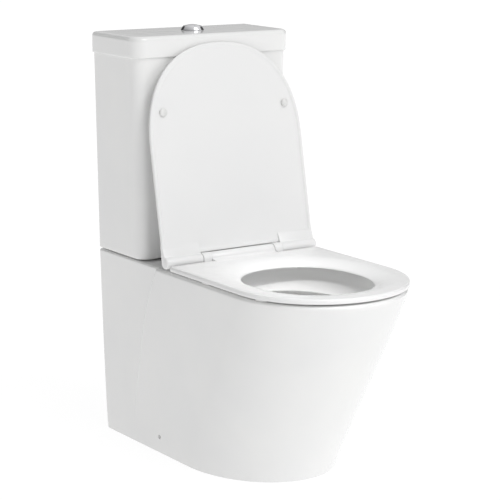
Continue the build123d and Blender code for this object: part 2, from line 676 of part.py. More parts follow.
def tank_plate_washer(x):
    return ring(x, VALVE_Y, DECK_UNDER - PLATE_WASHER_THICK, DECK_UNDER, PLATE_WASHER_R, BOLT_R)


def tank_wing_nut(x):
    top = DECK_UNDER - PLATE_WASHER_THICK
    return wing_nut(x, VALVE_Y, top) - disc(x, VALVE_Y, BOLT_END - EPS, top + EPS, BOLT_R)


# ---- Seat -----------------------------------------------------------------------------------
def seat_outline(inset, z):
    return d_face(SEAT_HALF - inset, SEAT_STRAIGHT_Y, FRONT_Y + inset, SEAT_REAR_Y - inset, NOSE_POWER, z)


def seat_ring():
    """A ring that dips towards its hole, with a tongue back to the barrel between the hinges."""
    plate = rounded_plate(seat_outline, *SEAT_Z, SEAT_ROUND)
    lip = extrude(oval_face(SEAT_HOLE_HALF_X + SEAT_LIP_WIDTH, SEAT_HOLE_HALF_Y + SEAT_LIP_WIDTH,
                            SEAT_HOLE_POWER, SEAT_HOLE_Y, SEAT_LIP_Z), SEAT_Z[0] - SEAT_LIP_Z + EPS)
    dish = loft([
        oval_face(SEAT_HOLE_HALF_X + grow, SEAT_HOLE_HALF_Y + grow, SEAT_HOLE_POWER, SEAT_HOLE_Y, SEAT_LIP_Z + rise)
        for rise, grow in SEAT_DISH
    ], ruled=True)
    seat = plate + lip - dish
    seat += prism_x([(SEAT_REAR_Y - 7, SEAT_Z[0] + 2), (SEAT_REAR_Y - 7, SEAT_Z[1]), (SEAT_REAR_Y, SEAT_Z[1] + 1.5),
                     (AXIS_Y - BARREL_R + 0.1, AXIS_Z + 1.0), (AXIS_Y, AXIS_Z), (AXIS_Y, AXIS_Z - BARREL_R)],
                    -TONGUE_HALF, TONGUE_HALF)
    seat += bar_x(-TONGUE_HALF, TONGUE_HALF, AXIS_Y, AXIS_Z, BARREL_R)
    for side in (-1, 1):
        bore = sorted((side * (PIN_X[0] - 2), side * (TONGUE_HALF + EPS)))
        seat -= bar_x(*bore, AXIS_Y, AXIS_Z, PIN_BORE_R)
    return seat


def seat_bumpers():
    """Four oblong rubber feet under the ring."""
    feet = []
    for side in (-1, 1):
        for x, y, turn in SEAT_BUMPERS:
            foot = extrude(SlotOverall(*SEAT_BUMPER_SIZE), SEAT_BUMPER_Z[1] - SEAT_BUMPER_Z[0])
            feet.append(Pos(side * x, y, SEAT_BUMPER_Z[0]) * Rot(0, 0, side * turn) * foot)
    return Compound(children=feet)


# ---- Cover ----------------------------------------------------------------------------------
def opened(shape):
    """Swings a piece of the closed cover back about the hinge axis, to where it leans when open."""
    return shape.rotate(Axis((0, AXIS_Y, AXIS_Z), (-1, 0, 0)), COVER_OPEN_DEG)


def cover_outline(inset, z):
    return d_face(COVER_HALF - inset, AXIS_Y - COVER_STRAIGHT, AXIS_Y - COVER_REACH + inset,
                  AXIS_Y - COVER_SLOT - inset, COVER_POWER, z)


def seat_cover():
    """A dished plate with a tab at each back corner, where its barrel turns on the hinge pin."""
    under = AXIS_Z + COVER_H[0]
    cover = rounded_plate(cover_outline, under, AXIS_Z + COVER_H[1], COVER_ROUND)
    cover -= extrude(cover_outline(COVER_RIM, under - EPS), COVER_DISH + EPS)
    front_y = AXIS_Y - TEARDROP_REACH
    teardrop = [(AXIS_Y, AXIS_Z + BARREL_R), (front_y, AXIS_Z + COVER_H[1] - 0.6), (front_y, under),
                (AXIS_Y - COVER_SLOT, AXIS_Z - TAB_BULGE), (AXIS_Y - BARREL_R + 0.4, AXIS_Z - TAB_BULGE),
                (AXIS_Y, AXIS_Z)]
    for side in (-1, 1):
        tab_x = sorted((side * TAB_START, side * COVER_HALF))
        bore = sorted((side * (TAB_START - EPS), side * (PIN_X[1] + 2)))
        cover += prism_x(teardrop, *tab_x)
        cover += bar_x(*tab_x, AXIS_Y, AXIS_Z, BARREL_R)
        cover -= bar_x(*bore, AXIS_Y, AXIS_Z, PIN_BORE_R)
    return opened(cover)


def cover_bumpers():
    top = AXIS_Z + COVER_H[0] + COVER_DISH
    feet = mirrored_pair(
        lambda x: disc(x, AXIS_Y - COVER_BUMPER_REACH, COVER_BUMPER_UNDER, top, COVER_BUMPER_R), COVER_BUMPER_X)
    return opened(feet)


# ---- Hinges ---------------------------------------------------------------------------------
def hinge_block(side):
    x_range = sorted((side * BLOCK_X[0], side * BLOCK_X[1]))
    foot = block(x_range, (AXIS_Y - BLOCK_R, AXIS_Y + BLOCK_R), (BASE_PLATE_TOP, AXIS_Z))
    body = foot + bar_x(*x_range, AXIS_Y, AXIS_Z, BLOCK_R)
    return body - bar_x(*x_range, AXIS_Y, AXIS_Z, PIN_R)


def hinge_damper(side):
    """A rotary damper that is also the hinge pin, fixed in its block."""
    return bar_x(*sorted((side * PIN_X[0], side * PIN_X[1])), AXIS_Y, AXIS_Z, PIN_R)


def hinge_base_plate(x):
    side = math.copysign(1, x)
    x_range = sorted((side * BASE_PLATE_X[0], side * BASE_PLATE_X[1]))
    plate = block(x_range, BASE_PLATE_Y, (RIM_Z, BASE_PLATE_TOP))
    plate = fillet(plate.edges().filter_by(Axis.Z), 8.0)
    hole = [(0, RIM_Z), (STUD_R, RIM_Z), (STUD_HEAD_R, BASE_PLATE_TOP), (0, BASE_PLATE_TOP)]
    return plate - turned(hole, x, AXIS_Y)


def hinge_stud(x):
    outline = [(0, STUD_END), (STUD_R, STUD_END), (STUD_R, RIM_Z), (STUD_HEAD_R, BASE_PLATE_TOP),
               (0, BASE_PLATE_TOP)]
    return turned(outline, x, AXIS_Y)


def hinge_stud_bush(x):
    return ring(x, AXIS_Y, *BUSH_Z, STUD_HOLE_R, STUD_R)


def hinge_wing_nut(x):
    nut = wing_nut(x, AXIS_Y, DECK_UNDER)
    return nut - disc(x, AXIS_Y, STUD_END - EPS, DECK_UNDER + EPS, STUD_R)


# ---- All pieces -----------------------------------------------------------------------------
HALF_BUTTON_X = (-BUTTON_R, BUTTON_SPLIT - BUTTON_GAP / 2)
FULL_BUTTON_X = (BUTTON_SPLIT + BUTTON_GAP / 2, BUTTON_R)

CASTING = pan_casting()

PIECES = {
    "pan": lambda: CASTING - behind_the_bowl(),
    "pan_trapway": lambda: CASTING & behind_the_bowl(),
    "cistern_tank": cistern_tank,
    "cistern_lid": cistern_lid,
    "button_bezel": button_bezel,
    "button_lock_nut": button_lock_nut,
    "half_flush_button": lambda: flush_button(HALF_BUTTON_X),
    "full_flush_button": lambda: flush_button(FULL_BUTTON_X),
    "half_push_rod": lambda: push_rod(HALF_ROD_X),
    "full_push_rod": lambda: push_rod(FULL_ROD_X),
    "half_button_spring": lambda: button_spring(HALF_ROD_X),
    "full_button_spring": lambda: button_spring(FULL_ROD_X),
    "flush_valve_base": flush_valve_base,
    "flush_valve_tower": flush_valve_tower,
    "flush_valve_overflow_tube": flush_valve_overflow_tube,
    "flush_valve_seal": flush_valve_seal,
    "flush_valve_nut": flush_valve_nut,
    "valve_base_washer": valve_base_washer,
    "close_coupling_gasket": close_coupling_gasket,
    "half_flush_lever": lambda: flush_lever(HALF_ROD_X),
    "full_flush_lever": lambda: flush_lever(FULL_ROD_X),
    "flush_lever_pin": flush_lever_pin,
    "fill_valve_body": fill_valve_body,
    "fill_valve_cap": fill_valve_cap,
    "fill_valve_float": fill_valve_float,
    "fill_valve_lever": fill_valve_lever,
    "fill_valve_washer": fill_valve_washer,
    "fill_valve_lock_nut": fill_valve_lock_nut,
    "tank_bolts": lambda: mirrored_pair(tank_bolt, BOLT_X),
    "tank_cone_washers": lambda: mirrored_pair(tank_cone_washer, BOLT_X),
    "tank_plate_washers": lambda: mirrored_pair(tank_plate_washer, BOLT_X),
    "tank_wing_nuts": lambda: mirrored_pair(tank_wing_nut, BOLT_X),
    "seat_ring": seat_ring,
    "seat_bumpers": seat_bumpers,
    "seat_cover": seat_cover,
    "cover_bumpers": cover_bumpers,
    "hinge_block_left": lambda: hinge_block(-1),
    "hinge_block_right": lambda: hinge_block(1),
    "seat_damper": lambda: hinge_damper(-1),
    "cover_damper": lambda: hinge_damper(1),
    "hinge_base_plates": lambda: mirrored_pair(hinge_base_plate, STUD_X),
    "hinge_studs": lambda: mirrored_pair(hinge_stud, STUD_X),
    "hinge_stud_bushes": lambda: mirrored_pair(hinge_stud_bush, STUD_X),
    "hinge_wing_nuts": lambda: mirrored_pair(hinge_wing_nut, STUD_X),
}

os.makedirs("parts", exist_ok=True)
for node, make in PIECES.items():
    export_step(make(), f"parts/{node}.step")
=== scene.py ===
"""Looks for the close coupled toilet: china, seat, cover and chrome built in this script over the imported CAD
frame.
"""
import json
import math

import bmesh
import bpy
import numpy as np
from mathutils import Euler, Matrix, Vector


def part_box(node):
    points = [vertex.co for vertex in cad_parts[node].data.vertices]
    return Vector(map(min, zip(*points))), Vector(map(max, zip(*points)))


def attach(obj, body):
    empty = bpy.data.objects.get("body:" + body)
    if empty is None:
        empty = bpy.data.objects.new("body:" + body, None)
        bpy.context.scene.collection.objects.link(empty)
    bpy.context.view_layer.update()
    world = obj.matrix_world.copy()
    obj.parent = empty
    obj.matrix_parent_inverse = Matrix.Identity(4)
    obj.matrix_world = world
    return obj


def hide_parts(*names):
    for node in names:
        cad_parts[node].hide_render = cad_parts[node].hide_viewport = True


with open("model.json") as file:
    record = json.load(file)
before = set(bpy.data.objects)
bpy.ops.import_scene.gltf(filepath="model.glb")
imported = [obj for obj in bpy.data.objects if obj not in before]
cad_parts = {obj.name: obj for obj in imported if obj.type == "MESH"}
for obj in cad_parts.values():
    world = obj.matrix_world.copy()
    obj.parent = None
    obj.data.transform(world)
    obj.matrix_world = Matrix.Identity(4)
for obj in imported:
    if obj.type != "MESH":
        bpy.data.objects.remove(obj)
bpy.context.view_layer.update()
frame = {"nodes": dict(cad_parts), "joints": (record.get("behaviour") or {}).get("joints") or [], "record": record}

# ---- Sizes, in metres ------------------------------------------------------------------------
MM = 0.001
PAN_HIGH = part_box("pan")[1]
TANK_LOW, TANK_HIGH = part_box("cistern_tank")
LID_LOW, LID_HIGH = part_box("cistern_lid")
SEAT_LOW, SEAT_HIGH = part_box("seat_ring")
BEZEL_LOW, BEZEL_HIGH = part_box("button_bezel")
BUTTON_LOW, BUTTON_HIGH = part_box("full_flush_button")
JOINTS = {joint["name"]: joint for joint in frame["joints"]}

WALL_Y = PAN_HIGH.y
RIM_Z = PAN_HIGH.z
PAN_BASE_HALF = 158 * MM
PAN_TOP_HALF = 176 * MM
NOSE_PROUD = 4.5 * MM
NOSE_POWER = 2.03
# height and y of the pan's front, in millimetres
NOSE_PROFILE = ((0, -161), (50, -181), (190, -249), (300, -306), (387, -344.5))
# y where the round nose meets the straight side, at the floor and at the rim
NOSE_STRAIGHT = (35 * MM, -170 * MM)
# height and y of the crease down each side, in millimetres
CREASE = ((-20, 240), (80, 226), (160, 205), (290, 170), (382, 127), (420, 100))
RIM_ROUND = 7 * MM
REAR_ROUND = 4 * MM
PAN_WALL = 11 * MM
DECK_UNDER = RIM_Z - 14 * MM
BOWL_WALL = 12 * MM
BOWL_Y = -130 * MM
BOWL_MOUTH = (135 * MM, 165 * MM)
# height, half width, half depth, centre y, in millimetres: down to the ledge, and set back below it
BOWL_UPPER = (
    (394, 135, 165, -130), (370, 133, 162, -130), (358, 127, 154, -129), (350, 112, 136, -126),
    (346, 105, 128, -125),
)
BOWL_LOWER = (
    (343, 122, 148, -128), (332, 120, 145, -127), (318, 107, 129, -122), (300, 95, 115, -117),
    (280, 87, 105, -112), (230, 75, 90, -102), (180, 63, 74, -93), (130, 46, 54, -84), (106, 26, 32, -80),
)
BOWL_DEEPEST_Y = -80 * MM
# y and height in millimetres, from the bottom of the bowl, up over the weir and down to the outlet
TRAP_ROUTE = ((-85, 132), (-30, 116), (5, 104), (40, 158), (62, 222), (118, 222), (150, 180), (215, 180))
TRAP_BORE_R = 28 * MM
TRAP_WALL = 10 * MM
OUTLET_ENDS = (196 * MM, 250 * MM)
OUTLET_BORE_R = 43 * MM
DUCT_HALF = 29 * MM
DUCT_Z = (296 * MM, 330 * MM)
DUCT_WALL = 9 * MM
INLET_R = 31 * MM
INLET_WALL = 13 * MM
RECESS_R = 46.6 * MM
RECESS_FLOOR = 382 * MM
CUTOUT_X = 122.5 * MM
CUTOUT_HALF = 27.5 * MM
CUTOUT_Y = (230 * MM, 296 * MM)
STUD_X = 77.5 * MM
STUD_HOLE_R = 7 * MM
BOLT_X = 78 * MM
BOLT_HOLE_R = 6 * MM
# y and height of the fixing hole in each side, and how far it runs through the wall
SIDE_HOLE = (135 * MM, 35 * MM)
SIDE_HOLE_X = (130 * MM, 180 * MM)
SIDE_HOLE_R = 5 * MM
TANK_WALL = 12 * MM
TANK_FLOOR = 14 * MM
TANK_TAPER = 11 * MM
TANK_FRONT_R = 25 * MM
TANK_BACK_R = 6 * MM
LID_HOLE_R = 20 * MM
SLEEVE_R = 19 * MM
BEZEL_R = 24 * MM
BUTTON_R = 14.9 * MM
COVER_HALF = 185 * MM
BUMPER_X = 149 * MM
BUMPER_REACH = 297 * MM
AXIS = Vector(JOINTS["cover_hinge"]["pos_m"])
COVER_OPEN = math.radians(-JOINTS["cover_hinge"]["range_deg"][0])
BARREL_R = 11.5 * MM


# ---- Small maths -----------------------------------------------------------------------------
def smooth_through(knots, x):
    """A Catmull-Rom curve through rows of knots, read at x, their first column."""
    knots = np.asarray(knots, float)
    keys = knots[:, 0]
    if keys[0] > keys[-1]:
        knots = knots[::-1]
        keys = knots[:, 0]
    x = min(max(x, keys[0]), keys[-1])
    i = min(max(int(np.searchsorted(keys, x, side="right")) - 1, 0), len(keys) - 2)
    low, high = max(i - 1, 0), min(i + 2, len(keys) - 1)
    span = keys[i + 1] - keys[i]
    t = (x - keys[i]) / span
    a, b = knots[i, 1:], knots[i + 1, 1:]
    slope_a = (b - knots[low, 1:]) / (keys[i + 1] - keys[low]) * span
    slope_b = (knots[high, 1:] - a) / (keys[high] - keys[i]) * span
    t2, t3 = t * t, t * t * t
    value = (2 * t3 - 3 * t2 + 1) * a + (t3 - 2 * t2 + t) * slope_a
    value += (3 * t2 - 2 * t3) * b + (t3 - t2) * slope_b
    return value if len(value) > 1 else float(value[0])


def smoothstep(low, high, x):
    """Runs from 0 to 1 as x runs from low to high, level at both ends."""
    t = min(max((x - low) / (high - low), 0.0), 1.0)
    return t * t * (3 - 2 * t)


def signed_power(value, power):
    """A power that keeps the sign of its value."""
    return math.copysign(abs(value) ** power, value)


def oval_radius(half_x, half_y, power, angle):
    """Distance from the centre of a superellipse to its edge, along an angle."""
    c, s = abs(math.cos(angle)) / half_x, abs(math.sin(angle)) / half_y
    return (c ** power + s ** power) ** (-1.0 / power)


def oval_ring(half_x, half_y, power, centre_y, z, angles):
    """A superellipse at one height, with one point for each angle."""
    ring = []
    for angle in angles:
        r = oval_radius(half_x, half_y, power, angle)
        ring.append((r * math.cos(angle), centre_y + r * math.sin(angle), z))
    return ring


def quarter(radius, steps):
    """(inset, rise) along a quarter circle, from a wall to the flat above it."""
    turns = [math.pi / 2 * i / steps for i in range(steps + 1)]
    return [(radius * (1 - math.cos(a)), radius * math.sin(a)) for a in turns]


def soft_box_ring(half_x, front_y, rear_y, front_r, rear_r, z, per_side=8, per_corner=8):
    """A rectangle with rounded corners, as a ring with a fixed count of points."""
    corners = (
        (half_x - front_r, front_y + front_r, front_r, -90), (half_x - rear_r, rear_y - rear_r, rear_r, 0),
        (-half_x + rear_r, rear_y - rear_r, rear_r, 90), (-half_x + front_r, front_y + front_r, front_r, 180),
    )
    arcs = []
    for x, y, r, start in corners:
        turns = [math.radians(start + 90 * i / per_corner) for i in range(per_corner + 1)]
        arcs.append([(x + r * math.cos(a), y + r * math.sin(a), z) for a in turns])
    ring = []
    for i, arc in enumerate(arcs):
        ring += arc
        last, first = Vector(arc[-1]), Vector(arcs[(i + 1) % 4][0])
        ring += [tuple(last.lerp(first, j / per_side)) for j in range(1, per_side)]
    return ring


# ---- Mesh building ---------------------------------------------------------------------------
def new_object(name, bm, sharp_deg=40.0):
    """Turns a bmesh into a shaded object whose edges stay sharp only where they really turn."""
    bmesh.ops.recalc_face_normals(bm, faces=bm.faces)
    mesh = bpy.data.meshes.new(name)
    bm.to_mesh(mesh)
    bm.free()
    obj = bpy.data.objects.new(name, mesh)
    bpy.context.scene.collection.objects.link(obj)
    shade(obj, sharp_deg)
    return obj


def shade(obj, sharp_deg=40.0):
    """Smooth faces, with the edges that turn by more than an angle kept sharp."""
    mesh = obj.data
    mesh.polygons.foreach_set("use_smooth", [True] * len(mesh.polygons))
    mesh.set_sharp_from_angle(angle=math.radians(sharp_deg))
    mesh.update()


def add_rings(bm, rings, cap_first=False, cap_last=False, closed=False):
    """Skins a stack of rings of equal count. Caps are fans to the ring's middle."""
    rows = [[bm.verts.new(p) for p in ring] for ring in rings]
    count = len(rows[0])
    pairs = list(zip(rows, rows[1:]))
    if closed:
        pairs.append((rows[-1], rows[0]))
    for a, b in pairs:
        for i in range(count):
            j = (i + 1) % count
            bm.faces.new((a[i], a[j], b[j], b[i]))
    for row, wanted in ((rows[0], cap_first), (rows[-1], cap_last)):
        if wanted:
            middle = bm.verts.new(sum((v.co for v in row), Vector()) / count)
            for i in range(count):
                bm.faces.new((row[i], row[(i + 1) % count], middle))
    return rows


def ring_object(name, rings, cap_first=False, cap_last=False, closed=False, sharp_deg=40.0):
    bm = bmesh.new()
    add_rings(bm, rings, cap_first, cap_last, closed)
    return new_object(name, bm, sharp_deg)


def lathe(name, profile, x, y, count=96, sharp_deg=40.0):
    """Turns (radius, z) points about an upright axis. A radius of 0 at either end closes the form."""
    rings = []
    for radius, z in profile:
        turns = [2 * math.pi * i / count for i in range(count)]
        rings.append([(x + radius * math.cos(a), y + radius * math.sin(a), z) for a in turns])
    bm = bmesh.new()
    add_rings(bm, rings)
    bmesh.ops.remove_doubles(bm, verts=bm.verts, dist=1e-7)
    return new_object(name, bm, sharp_deg)


def tube(name, points, radius, count=32):
    """A capped tube along a list of points that all lie in one plane across x."""
    rings = []
    turns = [2 * math.pi * k / count for k in range(count)]
    for i, point in enumerate(points):
        ahead = points[min(i + 1, len(points) - 1)] - points[max(i - 1, 0)]
        side = Vector((1, 0, 0))
        up = ahead.normalized().cross(side)
        rings.append([tuple(point + radius * (math.cos(a) * side + math.sin(a) * up)) for a in turns])
    return ring_object(name, rings, True, True)


def combine(target, others, operation):
    """Joins or cuts other closed meshes into target, and removes them."""
    group = bpy.data.collections.new("operands")
    bpy.context.scene.collection.children.link(group)
    for other in others:
        bpy.context.scene.collection.objects.unlink(other)
        group.objects.link(other)
    modifier = target.modifiers.new("combine", "BOOLEAN")
    modifier.operation = operation
    modifier.operand_type = "COLLECTION"
    modifier.collection = group
    modifier.solver = "EXACT"
    apply_modifiers(target)
    for other in others:
        bpy.data.objects.remove(other)
    bpy.data.collections.remove(group)
    shade(target)


def apply_modifiers(obj):
    """Puts the result of an object's modifiers into its mesh."""
    graph = bpy.context.evaluated_depsgraph_get()
    made = bpy.data.meshes.new_from_object(obj.evaluated_get(graph))
    obj.modifiers.clear()
    obj.data = made


def soften(obj, width, segments=3, angle_deg=35.0):
    """Rounds the edges that turn by more than an angle."""
    modifier = obj.modifiers.new("soften", "BEVEL")
    modifier.width = width
    modifier.segments = segments
    modifier.limit_method = "ANGLE"
    modifier.angle_limit = math.radians(angle_deg)
    modifier.harden_normals = False
    apply_modifiers(obj)
    shade(obj)


# ---- Materials -------------------------------------------------------------------------------
def material(name, color, roughness, **settings):
    """A new material, and its shader node for the helpers below."""
    made = bpy.data.materials.new(name)
    made.use_nodes = True
    shader = made.node_tree.nodes["Principled BSDF"]
    shader.inputs["Base Color"].default_value = (*color, 1.0)
    shader.inputs["Roughness"].default_value = roughness
    for label, value in settings.items():
        shader.inputs[label.replace("_", " ")].default_value = value
    return made, shader


def add_node(made, kind, **inputs):
    node = made.node_tree.nodes.new(kind)
    for label, value in inputs.items():
        node.inputs[label.replace("_", " ")].default_value = value
    return node


def noise(made, scale, detail=3.0, roughness=0.5):
    """A noise field fixed to the object's own coordinates."""
    links = made.node_tree.links
    coords = made.node_tree.nodes.new("ShaderNodeTexCoord")
    field = add_node(made, "ShaderNodeTexNoise", Scale=scale, Detail=detail, Roughness=roughness)
    links.new(coords.outputs["Object"], field.inputs["Vector"])
    return field


def vary_color(made, shader, field, dark, light, low=0.35, high=0.65):
    """The base colour wanders between two tones with a noise field."""
    ramp = made.node_tree.nodes.new("ShaderNodeValToRGB")
    ramp.color_ramp.elements[0].position = low
    ramp.color_ramp.elements[0].color = (*dark, 1.0)
    ramp.color_ramp.elements[1].position = high
    ramp.color_ramp.elements[1].color = (*light, 1.0)
    made.node_tree.links.new(field.outputs["Fac"], ramp.inputs["Fac"])
    made.node_tree.links.new(ramp.outputs["Color"], shader.inputs["Base Color"])


def vary_roughness(made, shader, field, low, high):
    """The roughness wanders between two values with a noise field."""
    span = add_node(made, "ShaderNodeMapRange", From_Min=0.3, From_Max=0.7, To_Min=low, To_Max=high)
    made.node_tree.links.new(field.outputs["Fac"], span.inputs["Value"])
    made.node_tree.links.new(span.outputs["Result"], shader.inputs["Roughness"])


def bump(made, shader, fields, distance):
    """Stacks bumps, each a (field, strength) pair."""
    previous = None
    for field, strength in fields:
        node = add_node(made, "ShaderNodeBump", Strength=strength, Distance=distance)
        made.node_tree.links.new(field.outputs["Fac"], node.inputs["Height"])
        if previous:
            made.node_tree.links.new(previous.outputs["Normal"], node.inputs["Normal"])
        previous = node
    made.node_tree.links.new(previous.outputs["Normal"], shader.inputs["Normal"])


def glazed_china():
    """White vitreous china: a clear glaze with a faint ripple over a body of slightly uneven white."""
    settings = {"IOR": 1.5, "Coat_Weight": 0.6, "Coat_Roughness": 0.04}
    made, shader = material("glazed_china", (0.9, 0.9, 0.895), 0.16, **settings)
    vary_color(made, shader, noise(made, 7.0, 4.0), (0.885, 0.887, 0.885), (0.91, 0.91, 0.903))
    vary_roughness(made, shader, noise(made, 45.0, 2.0), 0.13, 0.2)
    bump(made, shader, [(noise(made, 9.0, 2.0), 0.05), (noise(made, 160.0, 2.0), 0.012)], 0.002)
    return made


def seat_plastic():
    """Pressed thermoset: a cooler, even white with a fine polished skin."""
    settings = {"IOR": 1.5, "Coat_Weight": 0.25, "Coat_Roughness": 0.12}
    made, shader = material("seat_plastic", (0.89, 0.89, 0.89), 0.22, **settings)
    vary_color(made, shader, noise(made, 5.0, 2.0), (0.883, 0.885, 0.886), (0.9, 0.9, 0.898))
    vary_roughness(made, shader, noise(made, 60.0, 3.0), 0.19, 0.27)
    bump(made, shader, [(noise(made, 420.0, 2.0), 0.01)], 0.001)
    return made


def chrome():
    """Polished plating with faint wipe marks."""
    made, shader = material("chrome_trim", (0.78, 0.78, 0.8), 0.06, Metallic=1.0)
    vary_roughness(made, shader, noise(made, 300.0, 4.0, 0.6), 0.04, 0.1)
    bump(made, shader, [(noise(made, 900.0, 2.0), 0.008)], 0.0005)
    return made


def moulded(name, color, roughness=0.42, grain=700.0):
    """Injection moulded plastic with a fine matt grain."""
    dark = tuple(c * 0.94 for c in color)
    made, shader = material(name, color, roughness, IOR=1.46)
    vary_color(made, shader, noise(made, 30.0, 3.0), dark, color)
    vary_roughness(made, shader, noise(made, 120.0, 3.0), roughness - 0.06, roughness + 0.08)
    bump(made, shader, [(noise(made, grain, 2.0), 0.06)], 0.0004)
    return made


def rubber(name, color):
    """Matt rubber with a fine tooth."""
    made, shader = material(name, color, 0.6, IOR=1.5)
    vary_color(made, shader, noise(made, 80.0, 3.0), tuple(c * 0.85 for c in color), color)
    bump(made, shader, [(noise(made, 1200.0, 3.0), 0.15)], 0.0004)
    return made


def steel(name, color, scale):
    """Plated steel, a little uneven in its shine."""
    made, shader = material(name, color, 0.3, Metallic=1.0)
    vary_roughness(made, shader, noise(made, scale, 4.0, 0.65), 0.22, 0.42)
    bump(made, shader, [(noise(made, scale * 4, 2.0), 0.04)], 0.0004)
    return made


MATERIALS = {
    "glazed_china": glazed_china(),
    "seat_plastic": seat_plastic(),
    "chrome_trim": chrome(),
    "valve_plastic": moulded("valve_plastic", (0.78, 0.79, 0.79)),
    "blue_plastic": moulded("blue_plastic", (0.05, 0.17, 0.42)),
    "float_plastic": moulded("float_plastic", (0.42, 0.44, 0.46)),
    "seal_rubber": rubber("seal_rubber", (0.025, 0.025, 0.027)),
    "bumper_rubber": rubber("bumper_rubber", (0.86, 0.86, 0.85)),
    "bolt_steel": steel("bolt_steel", (0.6, 0.61, 0.62), 220.0),
    "spring_steel": steel("spring_steel", (0.5, 0.51, 0.53), 400.0),
}


def finish_cad_nodes():
    """Every CAD node that stays gets the finish of its slot."""
    for entry in frame["record"]["subparts"]:
        node = frame["nodes"][entry["node"]]
        node.data.materials.clear()
        node.data.materials.append(MATERIALS[entry["material_slot"]])


def place(obj, slot, body, *nodes):
    """Gives a piece its finish and its body, and says which CAD nodes it stands for."""
    obj.data.materials.clear()
    obj.data.materials.append(MATERIALS[slot])
    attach(obj, body)
    if nodes:
        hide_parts(*nodes)
    return obj


# ---- Pan -------------------------------------------------------------------------------------
NOSE_STEPS = 40
SIDE_STEPS = 12
BEHIND_STEPS = 14
CORNER_STEPS = 4
BACK_STEPS = 10
# millimetres from the crease, ahead of it and behind it, where the side has its columns of points
STEP_OFFSETS = (-14, -10, -7, -5, -3.5, -2.4, -1.5, -0.8, -0.25, 0.15, 0.5, 1.0, 1.8, 3.0, 6.0)


def pan_half_width(z):
    """Half the width of the pan's rear box, which widens towards the rim."""
    return PAN_BASE_HALF + (PAN_TOP_HALF - PAN_BASE_HALF) * (max(z, 0.0) / RIM_Z) ** 0.75


def nose_proud(z, behind):
    """How far the side stands out of the rear box, at a distance behind the crease."""
    full = NOSE_PROUD * smoothstep(-0.02, 0.30, z) * (z / RIM_Z) ** 0.6
    if behind >= 0.0:
        return 0.0
    shoulder = min(-behind / (7 * MM), 1.0)
    return full * math.sqrt(1 - (1 - shoulder) ** 2)


def pan_half_ring(z, inset, rear_inset):
    """Half of one level of the pan's outside, from the middle of the front to the middle of the back."""
    share = min(z, RIM_Z) / RIM_Z
    level = min(z, NOSE_PROFILE[-1][0] * MM)
    front_y = smooth_through(NOSE_PROFILE, level / MM) * MM + inset
    straight_y = NOSE_STRAIGHT[0] + (NOSE_STRAIGHT[1] - NOSE_STRAIGHT[0]) * share
    box_half = pan_half_width(z)
    half = box_half + nose_proud(z, -1.0) - inset
    points = []
    for i in range(NOSE_STEPS):
        a = math.pi / 2 * i / NOSE_STEPS
        x = half * signed_power(math.sin(a), 2 / NOSE_POWER)
        y = straight_y - (straight_y - front_y) * signed_power(math.cos(a), 2 / NOSE_POWER)
        points.append((x, y))
    crease_y = smooth_through(CREASE, z / MM) * MM
    first = crease_y + STEP_OFFSETS[0] * MM
    for i in range(SIDE_STEPS):
        points.append((half, straight_y + (first - straight_y) * i / SIDE_STEPS))
    for offset in STEP_OFFSETS:
        behind = offset * MM
        drawn_in = inset if behind < 0 else inset + (rear_inset - inset) * smoothstep(0, 6 * MM, behind)
        points.append((box_half + nose_proud(z, behind) - drawn_in, crease_y + behind))
    last = crease_y + STEP_OFFSETS[-1] * MM
    corner = REAR_ROUND
    side = box_half - rear_inset
    end_y = WALL_Y - corner
    for i in range(1, BEHIND_STEPS + 1):
        points.append((side, last + (end_y - last) * i / BEHIND_STEPS))
    for i in range(1, CORNER_STEPS + 1):
        a = math.pi / 2 * i / CORNER_STEPS
        points.append((side - corner * (1 - math.cos(a)), end_y + corner * math.sin(a)))
    inner = side - PAN_WALL
    points.append((inner, WALL_Y))
    for i in range(1, BACK_STEPS + 1):
        points.append((inner * (1 - i / BACK_STEPS), WALL_Y))
    return points


def whole_ring(half, z):
    """Mirrors half a ring into a closed one."""
    right = [(x, y, z) for x, y in half]
    left = [(-x, y, z) for x, y in half[-2:0:-1]]
    return right + left


def inner_half_ring(z):
    """The same columns on the inside of the skirt."""
    outer = pan_half_ring(z, PAN_WALL, PAN_WALL)
    count = len(outer) - BACK_STEPS - CORNER_STEPS - 1
    points = outer[:count]
    inner = pan_half_width(z) - PAN_WALL
    for i in range(CORNER_STEPS):
        points.append((inner, WALL_Y - REAR_ROUND * (1 - (i + 1) / (CORNER_STEPS + 1))))
    back = pan_half_ring(z, 0.0, 0.0)[count + CORNER_STEPS:]
    return points + back


def between(start, end, steps):
    """The rings that lead evenly from one ring to another, without the two."""
    return [
        [tuple(Vector(p).lerp(Vector(q), i / steps)) for p, q in zip(start, end)] for i in range(1, steps)
    ]


def level_oval(half_x, half_y, centre_y, z, angles):
    """An ellipse at one height, with one point for each angle."""
    return [(half_x * math.cos(a), centre_y + half_y * math.sin(a), z) for a in angles]


def bowl_ring(sections, z, angles, grow=0.0):
    """One level of the bowl, at a height in millimetres."""
    half_x, half_y, centre_y = smooth_through(sections, z) * MM
    return level_oval(half_x + grow, half_y + grow, centre_y, z * MM, angles)


def drawn_together(ring, share, drop):
    """A ring shrunk towards the bowl's deepest point and lowered by a number of millimetres."""
    return [(x * share, (y - BOWL_DEEPEST_Y) * share + BOWL_DEEPEST_Y, z - drop * MM) for x, y, z in ring]


def rim_rings():
    """The rolled edge round the top of the pan, which is tighter at the back."""
    rings = []
    brow = NOSE_PROFILE[-1][0] * MM
    rear = REAR_ROUND
    for inset, rise in quarter(RIM_ROUND, 8):
        z = brow + rise
        over = max(z - (RIM_Z - rear), 0.0)
        rear_inset = rear - math.sqrt(max(rear * rear - over * over, 0.0))
        rings.append(whole_ring(pan_half_ring(z, inset, rear_inset), z))
    return rings


